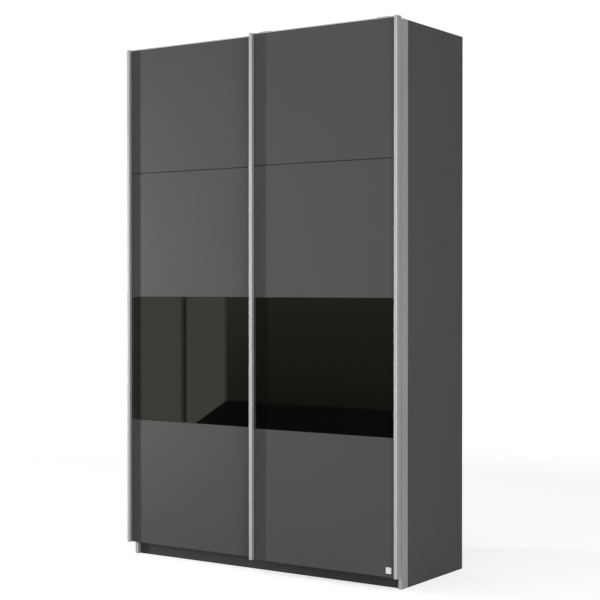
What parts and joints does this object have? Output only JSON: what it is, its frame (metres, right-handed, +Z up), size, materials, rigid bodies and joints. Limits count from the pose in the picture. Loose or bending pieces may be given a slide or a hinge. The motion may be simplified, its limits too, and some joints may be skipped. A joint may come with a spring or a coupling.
{
  "type": "sliding door wardrobe",
  "caption": "Free-standing wardrobe whose suspended sliding doors, with a black glass band and vertical grip profiles, roll on a top track in front of a divided carcass.",
  "frame": {"origin": "on the floor, under the middle of the overall box in width and depth", "axes": "+Z up; -Y is the front, where the doors are; +X to the right as seen from the front"},
  "size_m": [1.318, 0.541, 2.0998],
  "materials": {
    "graphite_board": "matt graphite melamine-faced board",
    "interior_board": "light grey melamine-faced board, fine linen texture",
    "back_board": "thin painted hardboard",
    "satin_aluminium": "satin anodised extrusion",
    "black_glass": "black back-painted glass, polished, opaque",
    "zinc_steel": "bright zinc-plated sheet steel",
    "grey_nylon": "moulded nylon",
    "black_plastic": "moulded or extruded plastic",
    "stop_rubber": "rubber block"
  },
  "bodies": {
    "carcass": {"side_panel_left": "graphite_board", "side_panel_right": "graphite_board", "side_strip_left": "satin_aluminium", "side_strip_right": "satin_aluminium", "top_panel": "interior_board", "bottom_panel": "interior_board", "partition": "interior_board", "plinth_front": "graphite_board", "plinth_rear": "interior_board", "back_panel_left": "back_board", "back_panel_right": "back_board", "back_joint_profile": "black_plastic", "shelf_left": "interior_board", "shelf_right": "interior_board", "hanging_rail_left": "zinc_steel", "hanging_rail_right": "zinc_steel", "rail_socket_left_outer": "grey_nylon", "rail_socket_left_inner": "grey_nylon", "rail_socket_right_outer": "grey_nylon", "rail_socket_right_inner": "grey_nylon", "wall_bracket_left": "zinc_steel", "wall_bracket_right": "zinc_steel", "top_track": "satin_aluminium", "bottom_guide_rail": "satin_aluminium", "rear_runway_stop_shut": "stop_rubber", "rear_runway_stop_open": "stop_rubber", "front_runway_stop_shut": "stop_rubber", "front_runway_stop_open": "stop_rubber"},
    "left_door": {"left_door_board_lower": "graphite_board", "left_door_glass": "black_glass", "left_door_glass_backing": "graphite_board", "left_door_board_upper": "graphite_board", "left_door_joint_strip": "black_plastic", "left_door_board_top": "graphite_board", "left_door_top_rail": "satin_aluminium", "left_door_handle_left": "satin_aluminium", "left_door_handle_right": "satin_aluminium", "left_door_carriage_left": "zinc_steel", "left_door_carriage_right": "zinc_steel", "left_door_guide_left": "black_plastic", "left_door_guide_right": "black_plastic"},
    "right_door": {"right_door_board_lower": "graphite_board", "right_door_glass": "black_glass", "right_door_glass_backing": "graphite_board", "right_door_board_upper": "graphite_board", "right_door_joint_strip": "black_plastic", "right_door_board_top": "graphite_board", "right_door_top_rail": "satin_aluminium", "right_door_handle_left": "satin_aluminium", "right_door_handle_right": "satin_aluminium", "right_door_carriage_left": "zinc_steel", "right_door_carriage_right": "zinc_steel", "right_door_guide_left": "black_plastic", "right_door_guide_right": "black_plastic", "badge_plate": "satin_aluminium"},
    "left_door_wheel_left": {"left_door_wheel_left": "grey_nylon"},
    "left_door_wheel_right": {"left_door_wheel_right": "grey_nylon"},
    "right_door_wheel_left": {"right_door_wheel_left": "grey_nylon"},
    "right_door_wheel_right": {"right_door_wheel_right": "grey_nylon"}
  },
  "joints": [
    {"name": "left_door_slide", "type": "slide", "parent": "carcass", "child": "left_door", "axis": [1, 0, 0], "range_m": [0, 0.62]},
    {"name": "right_door_slide", "type": "slide", "parent": "carcass", "child": "right_door", "axis": [1, 0, 0], "range_m": [-0.62, 0]},
    {"name": "left_door_wheel_left_roll", "type": "hinge", "parent": "left_door", "child": "left_door_wheel_left", "pos_m": [-0.59, -0.1983, 2.0603], "axis": [0, 1, 0], "continuous": true},
    {"name": "left_door_wheel_right_roll", "type": "hinge", "parent": "left_door", "child": "left_door_wheel_right", "pos_m": [-0.06, -0.1983, 2.0603], "axis": [0, 1, 0], "continuous": true},
    {"name": "right_door_wheel_left_roll", "type": "hinge", "parent": "right_door", "child": "right_door_wheel_left", "pos_m": [0.06, -0.1823, 2.0603], "axis": [0, 1, 0], "continuous": true},
    {"name": "right_door_wheel_right_roll", "type": "hinge", "parent": "right_door", "child": "right_door_wheel_right", "pos_m": [0.59, -0.1823, 2.0603], "axis": [0, 1, 0], "continuous": true}
  ],
  "couplings": [
    {"joint": "left_door_wheel_left_roll", "follows": "left_door_slide", "rad_per_m": 68.966},
    {"joint": "left_door_wheel_right_roll", "follows": "left_door_slide", "rad_per_m": 68.966},
    {"joint": "right_door_wheel_left_roll", "follows": "right_door_slide", "rad_per_m": 68.966},
    {"joint": "right_door_wheel_right_roll", "follows": "right_door_slide", "rad_per_m": 68.966}
  ]
}
